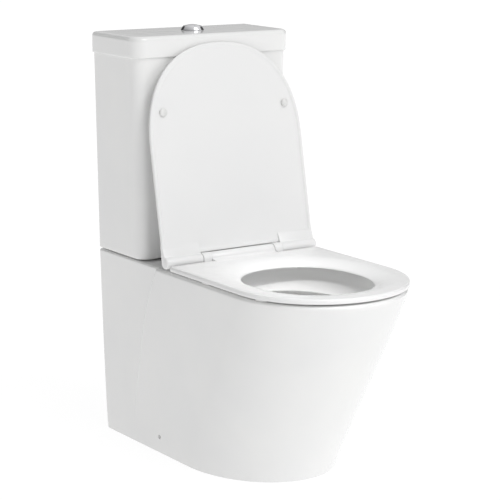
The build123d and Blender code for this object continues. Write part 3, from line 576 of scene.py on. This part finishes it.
def bowl_rings(rim, angles):
    """The deck from the rim to the bowl's mouth, then down past the ledge to the bottom of the bowl."""
    half_x, half_y = BOWL_MOUTH
    lip_r = 6 * MM
    edge = level_oval(half_x + lip_r, half_y + lip_r, BOWL_Y, RIM_Z, angles)
    rings = between(rim, edge, 6)
    for inset, drop in quarter(lip_r, 5):
        grow = lip_r - drop
        rings.append(level_oval(half_x + grow, half_y + grow, BOWL_Y, RIM_Z - inset, angles))
    for z in (386, 380, 374, 368, 363, 359, 356, 353, 350.5, 348.5, 347, 346):
        rings.append(bowl_ring(BOWL_UPPER, z, angles))
    half_x, half_y, centre_y = (value * MM for value in BOWL_UPPER[-1][1:])
    for z, grow in ((345.3, 0.0), (344.4, 0.3), (343.6, 1.0), (343.1, 2.2)):
        rings.append(level_oval(half_x + grow * MM, half_y + grow * MM, centre_y, z * MM, angles))
    for z in (343, 341, 337, 332, 326, 320, *range(312, 111, -8), 106):
        rings.append(bowl_ring(BOWL_LOWER, z, angles))
    floor = rings[-1]
    for shrink, drop in ((0.8, 2.5), (0.5, 4.5), (0.2, 5.4)):
        rings.append(drawn_together(floor, shrink, drop))
    return rings


def underside_rings(wall_levels, angles):
    """Up the inside of the skirt, below the deck and down round the outside of the bowl."""
    under = [whole_ring(inner_half_ring(z), z) for z in wall_levels]
    top = under[-1]
    shoulder = bowl_ring(BOWL_UPPER, DECK_UNDER / MM, angles, BOWL_WALL)
    under += between(top, shoulder, 4) + [shoulder]
    for z in (343, 337, 330, 322, *range(312, 111, -10)):
        under.append([(x, y, h - 8 * MM) for x, y, h in bowl_ring(BOWL_LOWER, z, angles, BOWL_WALL)])
    base = under[-1]
    for shrink, drop in ((0.85, 6), (0.5, 10), (0.2, 11)):
        under.append(drawn_together(base, shrink, drop))
    return under


def open_back(bm, first_row, rows, count):
    """Takes away the faces between the side walls, where the pan stands against the room's wall."""
    bm.faces.ensure_lookup_table()
    half = count // 2
    doomed = []
    for row in range(first_row, first_row + rows):
        for i in range(half - BACK_STEPS, half + BACK_STEPS):
            doomed.append(bm.faces[row * count + i])
    bmesh.ops.delete(bm, geom=doomed, context="FACES")


def pan_shell():
    """Skirt, deck and bowl as one closed skin, with the space between the side walls open at the back."""
    heights = (0, 8, 18, 30, 42, 56, 72, *range(90, 251, 20), 268, 286, 303, 320, 336, 350, 362, 371, 380)
    wall_levels = [z * MM for z in heights]
    rings = [whole_ring(pan_half_ring(z, 0.0, 0.0), z) for z in wall_levels] + rim_rings()
    rim = rings[-1]
    half_x, half_y = BOWL_MOUTH
    angles = [math.atan2((y - BOWL_Y) / half_y, x / half_x) for x, y, z in rim]
    rings += bowl_rings(rim, angles)
    bm = bmesh.new()
    add_rings(bm, rings[::-1] + underside_rings(wall_levels, angles), cap_first=True, cap_last=True)
    skirt_rows = len(wall_levels)
    open_back(bm, len(rings) - skirt_rows, 2 * skirt_rows - 1, len(rim))
    bmesh.ops.remove_doubles(bm, verts=bm.verts, dist=1e-6)
    return new_object("pan_china", bm)


def trap_points():
    """Points along a smooth curve through the trapway's route."""
    knots = [Vector((0, y * MM, z * MM)) for y, z in TRAP_ROUTE]
    points = []
    for i in range(len(knots) - 1):
        p0, p1 = knots[max(i - 1, 0)], knots[i]
        p2, p3 = knots[i + 1], knots[min(i + 2, len(knots) - 1)]
        for j in range(6):
            t = j / 6
            points.append(0.5 * ((2 * p1) + (p2 - p0) * t + (2 * p0 - 5 * p1 + 4 * p2 - p3) * t * t
                                 + (3 * p1 - p0 - 3 * p2 + p3) * t ** 3))
    points.append(knots[-1])
    return points


def solid_box(name, low, high):
    """A box from its low corner to its high corner."""
    bm = bmesh.new()
    bmesh.ops.create_cube(bm, size=1.0)
    size = Vector(high) - Vector(low)
    middle = (Vector(high) + Vector(low)) / 2
    for v in bm.verts:
        v.co = Vector(a * b for a, b in zip(v.co, size)) + middle
    return new_object(name, bm)


def bar(name, start, end, radius, count=40):
    """A capped round bar between two points in a plane across x."""
    return tube(name, [Vector(start), Vector(end)], radius, count)


def upright(name, x, y, low, high, radius, count=48):
    """A capped round post."""
    profile = [(0, low), (radius, low), (radius, high), (0, high)]
    return lathe(name, profile, x, y, count)


def along_x(name, start, end, y, z, radius, count=32):
    """A capped round bar that runs sideways."""
    turns = [2 * math.pi * k / count for k in range(count)]
    rings = [[(x, y + radius * math.cos(a), z + radius * math.sin(a)) for a in turns] for x in (start, end)]
    return ring_object(name, rings, True, True)


def pan():
    """The china pan, with its trapway, spigot and flush duct, and the holes in its deck and sides."""
    body = pan_shell()
    valve_y = (BEZEL_LOW.y + BEZEL_HIGH.y) / 2
    route = trap_points()
    outlet = frame_mount("waste_outlet")
    z = outlet["pos_m"][2]
    out_r = outlet["dims"]["r_mm"] * MM
    start, end = OUTLET_ENDS
    low, high = DUCT_Z
    duct_half = DUCT_HALF + DUCT_WALL
    over = RIM_Z + 5 * MM
    adds = [
        tube("trap", route, TRAP_BORE_R + TRAP_WALL),
        bar("spigot", (0, start, z), (0, end, z), out_r, 64),
        solid_box("duct", (-duct_half, 0, low - DUCT_WALL), (duct_half, valve_y + INLET_R, high + DUCT_WALL)),
        upright("inlet", 0, valve_y, low - 8 * MM, DECK_UNDER + 4 * MM, INLET_R + INLET_WALL),
    ]
    combine(body, adds, "UNION")
    cuts = [
        tube("trap_bore", route + [Vector((0, end + 10 * MM, z))], TRAP_BORE_R),
        bar("spigot_bore", (0, start + 8 * MM, z), (0, end + 5 * MM, z), OUTLET_BORE_R, 64),
        solid_box("duct_bore", (-DUCT_HALF, -60 * MM, low), (DUCT_HALF, valve_y, high)),
        upright("inlet_bore", 0, valve_y, low + 1 * MM, over, INLET_R),
        upright("inlet_recess", 0, valve_y, RECESS_FLOOR, over, RECESS_R),
    ]
    under, over = DECK_UNDER - 10 * MM, RIM_Z + 10 * MM
    through = SIDE_HOLE_X
    for side in (-1, 1):
        x = side * CUTOUT_X
        near, far = (x - CUTOUT_HALF, CUTOUT_Y[0], under), (x + CUTOUT_HALF, CUTOUT_Y[1], over)
        cuts.append(solid_box("cutout", near, far))
        cuts.append(upright("stud_hole", side * STUD_X, AXIS.y, under, over, STUD_HOLE_R))
        cuts.append(upright("bolt_hole", side * BOLT_X, valve_y, under, over, BOLT_HOLE_R))
        cuts.append(along_x("side_hole", side * through[0], side * through[1], *SIDE_HOLE, SIDE_HOLE_R))
    combine(body, cuts, "DIFFERENCE")
    return place(body, "glazed_china", "fixed", "pan", "pan_trapway")


def frame_mount(name):
    """A mount of the record, by its name."""
    return next(m for m in frame["record"]["mounts"] if m["name"] == name)


# ---- Cistern ---------------------------------------------------------------------------------
def tank():
    """The cistern's box: walls that taper, soft upright corners and a rebated rim below the lid."""
    low, high = TANK_LOW.z, TANK_HIGH.z
    top_half = TANK_HIGH.x
    base_half = top_half - TANK_TAPER
    front, back = TANK_LOW.y, TANK_HIGH.y

    def level(z, inset, rear_r):
        share = (z - low) / (high - low)
        half = base_half + (top_half - base_half) * share - inset
        corners = max(TANK_FRONT_R - inset, 2 * MM), max(rear_r - inset, 1 * MM)
        return soft_box_ring(half, front + inset, back - inset, *corners, z)

    def outside(z, inset=0.0):
        return level(z, inset, TANK_BACK_R)

    def inside(z, inset=TANK_WALL):
        return level(z, inset, 20 * MM)
    foot_r, edge_r, floor_r = 4 * MM, 0.6 * MM, 8 * MM
    shoulder = high - 3.2 * MM
    floor_z = low + TANK_FLOOR + floor_r
    # inset and drop below the rim, in millimetres
    groove = ((1.2, 2.6), (1.6, 3.4), (1.8, 5.5), (8.2, 6.0), (8.4, 0.4), (8.8, 0.0))
    rings = [outside(low + foot_r - rise, inset) for inset, rise in quarter(foot_r, 5)[::-1]]
    rings += [outside(z) for z in np.linspace(low + 8 * MM, shoulder, 14)]
    rings += [outside(shoulder + rise, inset) for inset, rise in quarter(edge_r, 3)]
    rings += [outside(high - drop * MM, inset * MM) for inset, drop in groove]
    rings += [inside(high - 2 * MM + rise, TANK_WALL - inset) for inset, rise in quarter(2 * MM, 3)[::-1]]
    rings += [inside(z) for z in np.linspace(high - 8 * MM, floor_z, 8)]
    rings += [inside(floor_z - rise, TANK_WALL + inset) for inset, rise in quarter(floor_r, 4)]
    made = ring_object("cistern_china", rings, True, True)
    return place(made, "glazed_china", "fixed", "cistern_tank")


def at_height(ring, z):
    """A copy of a ring at another height."""
    return [(point[0], point[1], z) for point in ring]


def lid():
    """The cistern's lid: a soft top edge, a faintly crowned top and a hollow underside with a rib."""
    low, high = LID_LOW.z, LID_HIGH.z
    half, front, back = LID_HIGH.x, LID_LOW.y, LID_HIGH.y
    hole = (0.0, (BEZEL_LOW.y + BEZEL_HIGH.y) / 2)

    def level(z, inset, front_r=28 * MM, rear_r=6 * MM):
        return soft_box_ring(half - inset, front + inset, back - inset, max(front_r - inset, 2 * MM),
                             max(rear_r - inset, 1.5 * MM), z)

    def hole_ring(z, like):
        turns = [math.atan2((point[1] - hole[1]) * 2.2, point[0]) for point in like]
        return [(hole[0] + LID_HOLE_R * math.cos(a), hole[1] + LID_HOLE_R * math.sin(a), z) for a in turns]
    rings = [level(low + 1.5 * MM - rise, inset) for inset, rise in quarter(1.5 * MM, 3)[::-1]]
    rings += [level(z, 0.0) for z in np.linspace(low + 4 * MM, high - 10 * MM, 5)]
    rings += [level(high - 9 * MM - 0.5 * MM + rise, inset) for inset, rise in quarter(9 * MM, 8)]
    edge = rings[-1]
    lip = hole_ring(high, edge)
    for i in range(1, 9):
        t = i / 8
        crown = Vector((0, 0, 0.5 * MM * (1 - (1 - t) ** 2)))
        rings.append([tuple(Vector(p).lerp(Vector((*q[:2], p[2])), t) + crown) for p, q in zip(edge, lip)])
    inner_top = high - 12 * MM
    rings.append(hole_ring(inner_top, edge))
    rib = level(inner_top, 22 * MM)
    rib_in = level(inner_top, 28 * MM)
    drop = low - 6 * MM
    rings += [rib_in, at_height(rib_in, drop), at_height(rib, drop), rib]
    rings += [level(inner_top, 12 * MM), level(low, 12 * MM)]
    return place(ring_object("cistern_lid_china", rings, closed=True), "glazed_china", "lid", "cistern_lid")


# ---- Flush buttons ---------------------------------------------------------------------------
def bezel():
    """The chrome collar: a low dome on the lid, and its sleeve through it."""
    x, y = 0.0, (BEZEL_LOW.y + BEZEL_HIGH.y) / 2
    base, top, low = LID_HIGH.z, BEZEL_HIGH.z, BEZEL_LOW.z
    bore = 15.2 * MM
    brow = base + 1.0 * MM
    mouth = 16.6 * MM
    profile = [(0, low), (SLEEVE_R, low), (SLEEVE_R, base)]
    profile += [(BEZEL_R - 0.4 * MM, base), (BEZEL_R, base + 0.4 * MM), (BEZEL_R, brow)]
    for i in range(1, 15):
        t = i / 14
        height = brow + (top - brow) * math.sin(math.pi / 2 * t ** 0.92)
        profile.append((BEZEL_R + (mouth - BEZEL_R) * t, height))
    profile += [(mouth - 0.4 * MM, top), (bore + 0.4 * MM, top - 0.1 * MM), (bore, top - 0.6 * MM)]
    profile += [(bore, low + 2.5 * MM), (0, low + 2.5 * MM)]
    return place(lathe("button_collar", profile, x, y, 128, 30), "chrome_trim", "lid", "button_bezel")


def button(name, node, body, keep_right):
    """One part of the split button: a low dome cut along its seam, with softened edges."""
    x, y = 0.0, (BUTTON_LOW.y + BUTTON_HIGH.y) / 2
    low, high = BUTTON_LOW.z, BUTTON_HIGH.z
    edge = BUTTON_R - 0.25 * MM
    profile = [(0, low), (BUTTON_R, low), (BUTTON_R, high - 3.4 * MM), (edge, high - 2.9 * MM)]
    for i in range(1, 13):
        r = edge * (1 - i / 12)
        profile.append((r, high - 2.75 * MM * (r / BUTTON_R) ** 2))
    dome = lathe("dome", profile, x, y, 96)
    seam = -2.5 * MM
    half_gap = 0.4 * MM
    reach = 20 * MM
    near_x, far_x = (-reach, seam + half_gap) if keep_right else (seam - half_gap, reach)
    cutter = solid_box("cutter", (near_x, y - reach, low - 5 * MM), (far_x, y + reach, high + 5 * MM))
    combine(dome, [cutter], "DIFFERENCE")
    dome.name = name
    soften(dome, 0.35 * MM, 2, 50)
    return place(dome, "chrome_trim", body, node)


# ---- Seat and cover --------------------------------------------------------------------------
def d_ring(half, straight_y, front_y, rear_y, corner, power, z, nose_steps=48, side_steps=16, back_steps=14):
    """A D with rounded rear corners, as a closed ring."""
    points = []
    for i in range(nose_steps):
        a = math.pi / 2 * i / nose_steps
        points.append((half * signed_power(math.sin(a), 2 / power),
                       straight_y - (straight_y - front_y) * signed_power(math.cos(a), 2 / power)))
    for i in range(side_steps):
        points.append((half, straight_y + (rear_y - corner - straight_y) * i / side_steps))
    for i in range(7):
        a = math.pi / 2 * i / 6
        points.append((half - corner + corner * math.cos(a), rear_y - corner + corner * math.sin(a)))
    for i in range(1, back_steps + 1):
        points.append(((half - corner) * (1 - i / back_steps), rear_y))
    return whole_ring(points, z)


def seat():
    """The ring: rounded outside edge, flat top that dips into the hole, and a tongue back to the hinge."""
    top, under = 408 * MM, 398 * MM
    half, front, rear = SEAT_HIGH.x, SEAT_LOW.y, 67 * MM
    straight_y, corner = -170 * MM, 7 * MM
    hole_x, hole_y, centre_y = 120 * MM, 133 * MM, -143 * MM

    def outline(inset, z):
        round_r = max(corner - inset, 1 * MM)
        return d_ring(half - inset, straight_y, front + inset, rear - inset, round_r, 2.04, z)
    outer = outline(0.0, under)
    angles = [math.atan2((y - centre_y) / 1.2, x) for x, y, z in outer]

    def hole(grow, z):
        return oval_ring(hole_x + grow * MM, hole_y + grow * MM, 2.2, centre_y, z * MM, angles)
    low_r, top_r = 2.2 * MM, 4.6 * MM
    rings = [outline(inset, under + low_r - rise) for inset, rise in quarter(low_r, 4)[::-1]]
    rings += [outline(inset, top - top_r + rise) for inset, rise in quarter(top_r, 8)]
    # how far out of the hole, and how high, from the flat top down to the lip and back up underneath
    dip = (
        (40, 407.9), (34, 407.4), (28, 406.6), (22, 405.4), (16, 403.8), (11, 402.0), (7, 400.2), (4, 398.6),
        (1.8, 397.1), (0.5, 395.8), (0.0, 394.6), (0.3, 393.6), (1.4, 393.0), (4.0, 393.0), (7.0, 393.4),
        (8.6, 394.6), (9.4, 396.6), (11.5, 398.0),
    )
    rings += between(rings[-1], hole(*dip[0]), 5)
    rings += [hole(grow, z) for grow, z in dip]
    rings += between(rings[-1], rings[0], 5)
    ring = ring_object("seat_ring_moulding", rings, closed=True)
    combine(ring, [tongue()], "UNION")
    return place(ring, "seat_plastic", "seat", "seat_ring")


def drawn_in(outline, centre, inset):
    """An outline whose points move towards a centre by a number of millimetres, to soften an end."""
    points = []
    for y, z in outline:
        away = Vector((y, z)) - centre
        points.append(centre + away * (1 - inset * MM / max(away.length, 1e-6)))
    return points


def tongue():
    """The middle of the hinge: a barrel with a hollowed slope down to the ring."""
    half = 77.8 * MM
    slope = ((46, 402), (46, 407.6), (52, 408.02), (58, 408.15), (62, 408.5), (65.5, 409.3), (67.8, 410.6))
    outline = [(y * MM, z * MM) for y, z in slope]
    for deg in range(176, -91, -7):
        a = math.radians(deg)
        outline.append((AXIS.y + BARREL_R * math.cos(a), AXIS.z + BARREL_R * math.sin(a)))
    outline += [(AXIS.y - 9 * MM, 400 * MM), (60 * MM, 399 * MM)]
    centre = Vector((AXIS.y - 6 * MM, AXIS.z - 3 * MM))
    # distance in from the end, and how far the end is drawn in
    ends = ((0.0, 1.2), (0.4, 0.5), (1.2, 0.0))
    stations = [(-half + step * MM, inset) for step, inset in ends] + [(0.0, 0.0)]
    stations += [(half - step * MM, inset) for step, inset in ends[::-1]]
    rings = [[(x, p.x, p.y) for p in drawn_in(outline, centre, inset)] for x, inset in stations]
    return ring_object("tongue", rings, True, True)


def opened(obj):
    """Swings a piece of the closed cover back to where the cover leans when open."""
    turn = Matrix.Translation(AXIS) @ Matrix.Rotation(-COVER_OPEN, 4, "X") @ Matrix.Translation(-AXIS)
    obj.data.transform(turn)
    obj.data.update()
    return obj


def cover():
    """A thin plate with a rolled rim round a shallow dish, and a rounded tab at each back corner."""
    half = COVER_HALF
    straight, front, rear = AXIS.y - 230 * MM, AXIS.y - 430 * MM, AXIS.y - 12.6 * MM
    low, high = AXIS.z + 1 * MM, AXIS.z + 9 * MM

    def outline(inset, z):
        round_r = max(1.5 * MM - inset, 0.4 * MM)
        return d_ring(half - inset, straight, front + inset, rear - inset, round_r, 2.28, z)
    rings = []
    back_r, rim_r = 4.0 * MM, 2.0 * MM
    middle = Vector((0, AXIS.y - 220 * MM, 0))

    def shrunk(ring, share, z):
        return [(p[0] * share, middle.y + (p[1] - middle.y) * share, z) for p in ring]
    base = outline(back_r, high)
    for share in (0.12, 0.3, 0.5, 0.7, 0.86):
        rings.append(shrunk(base, share, high))
    rings += [outline(inset, high - back_r + rise) for inset, rise in quarter(back_r, 7)[::-1]]
    rings += [outline(inset, low + rim_r - rise) for inset, rise in quarter(rim_r, 5)]
    dish = ((3.0, 0.0), (5.0, 0.0), (6.0, 0.15), (7.0, 0.6), (8.0, 1.05), (9.5, 1.3), (12, 1.4), (18, 1.4))
    for inset, dip in dish:
        rings.append(outline(inset * MM, low + dip * MM))
    base = outline(18 * MM, low)
    for share in (0.86, 0.7, 0.5, 0.3, 0.12):
        rings.append(shrunk(base, share, low + 1.4 * MM))
    plate = ring_object("seat_cover_moulding", rings, True, True)
    tabs = [cover_tab(side) for side in (-1, 1)]
    combine(plate, tabs, "UNION")
    return place(opened(plate), "seat_plastic", "cover", "seat_cover")


def cover_tab(side):
    """A tab that runs from the cover's inner face round the hinge pin, with a soft outer end."""
    start, end = 98.3 * MM, COVER_HALF
    outline = []
    for deg in range(199, 451, 9):
        a = math.radians(deg)
        outline.append((AXIS.y + BARREL_R * math.cos(a), AXIS.z + BARREL_R * math.sin(a)))
    # reach from the axis and height above it, over the back of the cover and back along its inner face
    flank = (
        (12, 10.9), (22, 9.6), (36, 8.9), (36, 2.6), (32.5, 2.1), (28, 0.9), (21, -0.9), (15, -2.2),
        (12.2, -2.8),
    )
    outline += [(AXIS.y - reach * MM, AXIS.z + rise * MM) for reach, rise in flank]
    centre = Vector((AXIS.y - 6 * MM, AXIS.z + 1.5 * MM))
    stations = [(start, 0.8), (start + 0.8 * MM, 0.0)]
    stations += [(end - step * MM, inset) for step, inset in ((4.0, 0.0), (1.6, 0.7), (0.5, 1.8), (0.0, 3.4))]
    rings = [[(side * x, p.x, p.y) for p in drawn_in(outline, centre, inset)] for x, inset in stations]
    return ring_object("tab", rings, True, True)


def cover_bumpers():
    """Two soft round feet on the cover's underside."""
    made = []
    for side, word in ((-1, "left"), (1, "right")):
        x, y = side * BUMPER_X, AXIS.y - BUMPER_REACH
        top, low = AXIS.z + 2.8 * MM, 408.4 * MM
        face = ((0, 0), (4.8, 0), (7.0, 0.3), (8.1, 0.9), (8.5, 1.8))
        profile = [(r * MM, low + rise * MM) for r, rise in face] + [(8.5 * MM, top), (0, top)]
        foot = opened(lathe(f"cover_bumper_{word}", profile, x, y, 40, 50))
        made.append(place(foot, "bumper_rubber", "cover"))
    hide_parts("cover_bumpers")
    return made


# ---- Stage -----------------------------------------------------------------------------------
def stage():
    """A pale floor that glows a little, so that it ends up white, and the lights."""
    bpy.ops.mesh.primitive_plane_add(size=80, location=(0, 0, -0.0004))
    floor = bpy.context.object
    floor.name = "floor"
    made, shader = material("pale_floor", (0.15, 0.15, 0.15), 0.9)
    shader.inputs["Emission Color"].default_value = (1.0, 1.0, 1.0, 1.0)
    shader.inputs["Emission Strength"].default_value = 0.89
    floor.data.materials.append(made)
    studio()
    key_light()


def studio():
    """A soft white surround, brighter overhead and to the right, with two grey panels behind the object."""
    world = bpy.data.worlds.new("studio")
    bpy.context.scene.world = world
    world.use_nodes = True
    nodes, links = world.node_tree.nodes, world.node_tree.links
    coords = nodes.new("ShaderNodeTexCoord")

    def span(direction, low, high, start, end, shape="SMOOTHSTEP"):
        """A value that runs from start to end as the dot product with a direction runs from low to high."""
        along = nodes.new("ShaderNodeVectorMath")
        along.operation = "DOT_PRODUCT"
        along.inputs[1].default_value = Vector(direction).normalized()
        links.new(coords.outputs["Generated"], along.inputs[0])
        made = nodes.new("ShaderNodeMapRange")
        made.interpolation_type = shape
        for label, value in (("From Min", low), ("From Max", high), ("To Min", start), ("To Max", end)):
            made.inputs[label].default_value = value
        links.new(along.outputs["Value"], made.inputs["Value"])
        return made.outputs["Result"]
    strength = span((0.5, -0.1, 0.86), -1.0, 1.0, -0.18, 0.88, "LINEAR")
    for panel in ((-0.25, 0.95, 0.22), (0.95, 0.08, 0.22)):
        dim = nodes.new("ShaderNodeMath")
        dim.operation = "MULTIPLY"
        links.new(strength, dim.inputs[0])
        links.new(span(panel, 0.86, 0.95, 1.0, 0.12), dim.inputs[1])
        strength = dim.outputs["Value"]
    links.new(strength, nodes["Background"].inputs["Strength"])
    nodes["Background"].inputs["Color"].default_value = (1.0, 1.0, 1.0, 1.0)
    bpy.context.scene.view_settings.view_transform = "Standard"


def key_light():
    """A wide soft light from the front, high up, and a narrow one down into the bowl."""
    key = bpy.data.lights.new("key", "SUN")
    key.energy = 0.88
    key.angle = math.radians(34)
    hang(key, (0.17, -0.68, 0.72), (0.0, 0.0, 0.0))
    spot = bpy.data.lights.new("bowl_spot", "SPOT")
    spot.energy = 150.0
    spot.spot_size = math.radians(9)
    spot.spot_blend = 1.0
    spot.shadow_soft_size = 0.15
    hang(spot, (-0.30, -1.15, 1.75), (0.01, -0.10, 0.34))


def hang(data, place_at, aim):
    """Puts a lamp at a point, and turns it towards another."""
    lamp = bpy.data.objects.new(data.name, data)
    bpy.context.scene.collection.objects.link(lamp)
    lamp.location = place_at
    lamp.rotation_euler = (Vector(place_at) - Vector(aim)).to_track_quat("Z", "Y").to_euler()


def camera():
    """A long lens from the front left, a little above the rim."""
    azimuth, elevation, roll = math.radians(-35.61), math.radians(12.07), math.radians(-0.64)
    target = Vector((-0.0213, 0.019, 0.4312))
    distance = 3.588
    flat = math.cos(elevation)
    back = Vector((math.sin(azimuth) * flat, -math.cos(azimuth) * flat, math.sin(elevation)))
    data = bpy.data.cameras.new("camera")
    data.lens = 129.5
    data.sensor_width = 36.0
    made = bpy.data.objects.new("camera", data)
    bpy.context.scene.collection.objects.link(made)
    made.location = target + back * distance
    made.rotation_mode = "QUATERNION"
    aim = (-back).to_track_quat("-Z", "Y")
    made.rotation_quaternion = aim @ Euler((0, 0, -roll)).to_quaternion()
    bpy.context.scene.camera = made


# ---- Build -----------------------------------------------------------------------------------
finish_cad_nodes()
pan()
tank()
lid()
bezel()
button("full_flush_cap", "full_flush_button", "full_button", True)
button("half_flush_cap", "half_flush_button", "half_button", False)
seat()
cover()
cover_bumpers()
stage()
camera()
